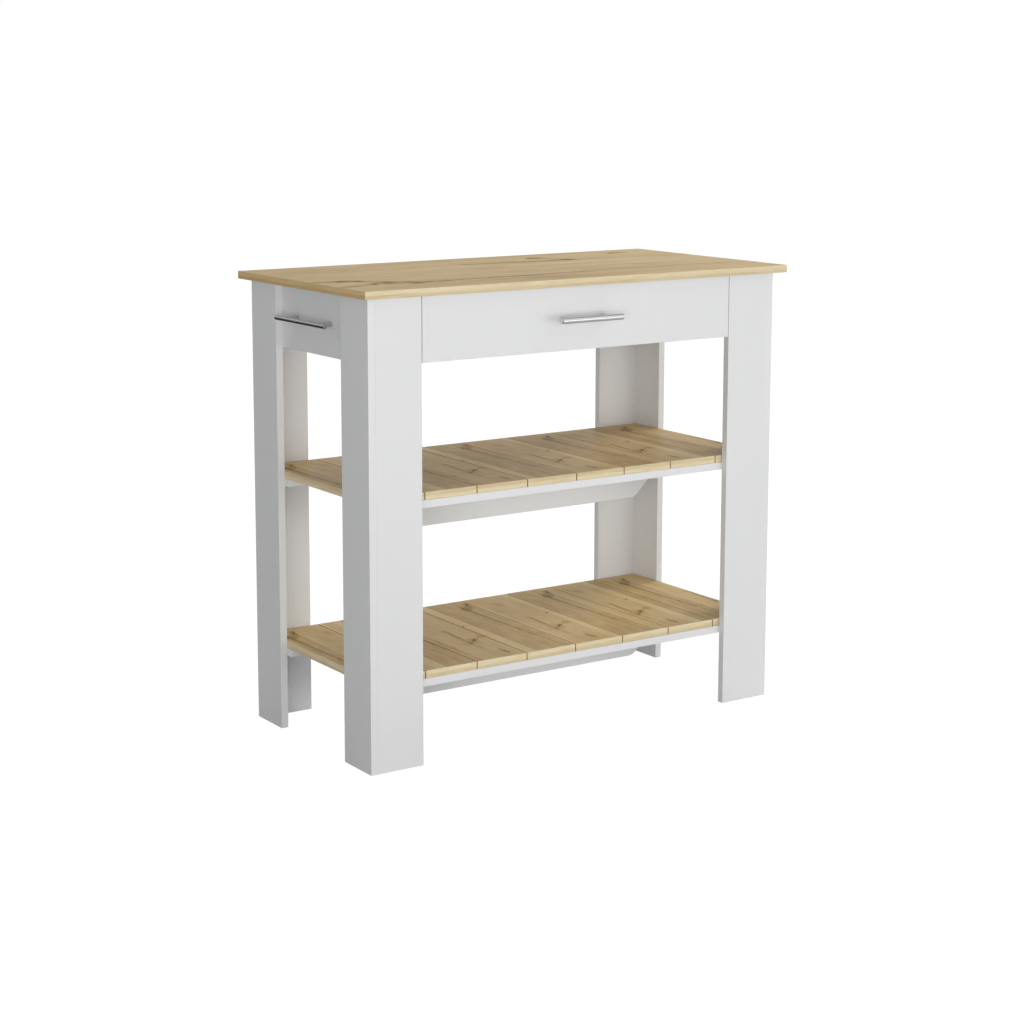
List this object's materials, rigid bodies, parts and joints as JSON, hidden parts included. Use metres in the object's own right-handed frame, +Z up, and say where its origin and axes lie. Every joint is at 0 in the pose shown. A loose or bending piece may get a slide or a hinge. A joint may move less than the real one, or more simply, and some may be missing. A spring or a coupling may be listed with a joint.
{
  "type": "kitchen island unit",
  "caption": "Free-standing kitchen island: oak-look worktop on white L-shaped board legs, a drawer on roller runners, open slatted shelves and round bar handles.",
  "frame": {"origin": "floor plane, at the middle of the footprint of the whole unit with its handles", "axes": "+Z up, +X to the right along the length seen from the drawer side, -Y towards the drawer side"},
  "size_m": [1.002, 0.515, 0.912],
  "materials": {
    "white_board": "white melamine-faced chipboard, fine satin grain",
    "oak_decor_top": "light oak decor on 15 mm board, grain along the length, matt",
    "oak_decor_slat": "light oak decor on 15 mm board, grain front to back, matt",
    "white_fibreboard": "3 mm fibreboard, white face",
    "satin_steel": "satin",
    "runner_steel": "white powder coat",
    "roller_plastic": "white nylon",
    "zinc_screw": "bright zinc",
    "zinc_cam": "die-cast zinc",
    "beech_dowel": "fluted beech"
  },
  "bodies": {
    "frame": {"apron_back": "white_board", "apron_left": "white_board", "apron_right": "white_board", "cabinet_runner_left": "runner_steel", "cabinet_runner_right": "runner_steel", "cabinet_runner_screws": "zinc_screw", "frame_cam_fittings": "zinc_cam", "frame_dowels": "beech_dowel", "frame_screws": "zinc_screw", "leg_back_left_face_board": "white_board", "leg_back_left_side_board": "white_board", "leg_back_right_face_board": "white_board", "leg_back_right_side_board": "white_board", "leg_front_left_face_board": "white_board", "leg_front_left_side_board": "white_board", "leg_front_right_face_board": "white_board", "leg_front_right_side_board": "white_board", "lower_shelf_rail_back": "white_board", "lower_shelf_rail_front": "white_board", "lower_shelf_slat_1": "oak_decor_slat", "lower_shelf_slat_2": "oak_decor_slat", "lower_shelf_slat_3": "oak_decor_slat", "lower_shelf_slat_4": "oak_decor_slat", "lower_shelf_slat_5": "oak_decor_slat", "lower_shelf_slat_6": "oak_decor_slat", "lower_shelf_slat_7": "oak_decor_slat", "lower_shelf_slat_8": "oak_decor_slat", "lower_shelf_stiffener": "white_board", "middle_shelf_rail_back": "white_board", "middle_shelf_rail_front": "white_board", "middle_shelf_slat_1": "oak_decor_slat", "middle_shelf_slat_2": "oak_decor_slat", "middle_shelf_slat_3": "oak_decor_slat", "middle_shelf_slat_4": "oak_decor_slat", "middle_shelf_slat_5": "oak_decor_slat", "middle_shelf_slat_6": "oak_decor_slat", "middle_shelf_slat_7": "oak_decor_slat", "middle_shelf_slat_8": "oak_decor_slat", "middle_shelf_stiffener": "white_board", "runner_panel_left": "white_board", "runner_panel_right": "white_board", "side_handle": "satin_steel", "side_handle_screws": "zinc_screw", "worktop": "oak_decor_top"},
    "drawer": {"drawer_back": "white_board", "drawer_bottom": "white_fibreboard", "drawer_cam_fittings": "zinc_cam", "drawer_dowels": "beech_dowel", "drawer_front": "white_board", "drawer_handle": "satin_steel", "drawer_handle_screws": "zinc_screw", "drawer_runner_left": "runner_steel", "drawer_runner_right": "runner_steel", "drawer_runner_screws": "zinc_screw", "drawer_side_left": "white_board", "drawer_side_right": "white_board"},
    "front_roller_left": {"front_roller_left": "roller_plastic"},
    "front_roller_right": {"front_roller_right": "roller_plastic"},
    "rear_roller_left": {"rear_roller_left": "roller_plastic"},
    "rear_roller_right": {"rear_roller_right": "roller_plastic"}
  },
  "joints": [
    {"name": "drawer_slide", "type": "slide", "parent": "frame", "child": "drawer", "axis": [0, -1, 0], "range_m": [0, 0.26]},
    {"name": "front_roller_left_turn", "type": "hinge", "parent": "frame", "child": "front_roller_left", "pos_m": [-0.3603, -0.1905, 0.798], "axis": [1, 0, 0], "range_deg": [0, 1570]},
    {"name": "rear_roller_left_turn", "type": "hinge", "parent": "drawer", "child": "rear_roller_left", "pos_m": [-0.3594, 0.1375, 0.796], "axis": [1, 0, 0], "range_deg": [0, 1755]},
    {"name": "front_roller_right_turn", "type": "hinge", "parent": "frame", "child": "front_roller_right", "pos_m": [0.3623, -0.1905, 0.798], "axis": [1, 0, 0], "range_deg": [0, 1570]},
    {"name": "rear_roller_right_turn", "type": "hinge", "parent": "drawer", "child": "rear_roller_right", "pos_m": [0.3614, 0.1375, 0.796], "axis": [1, 0, 0], "range_deg": [0, 1755]}
  ],
  "couplings": [
    {"joint": "front_roller_left_turn", "follows": "drawer_slide", "rad_per_m": 105.26},
    {"joint": "rear_roller_left_turn", "follows": "drawer_slide", "rad_per_m": 117.65},
    {"joint": "front_roller_right_turn", "follows": "drawer_slide", "rad_per_m": 105.26},
    {"joint": "rear_roller_right_turn", "follows": "drawer_slide", "rad_per_m": 117.65}
  ]
}
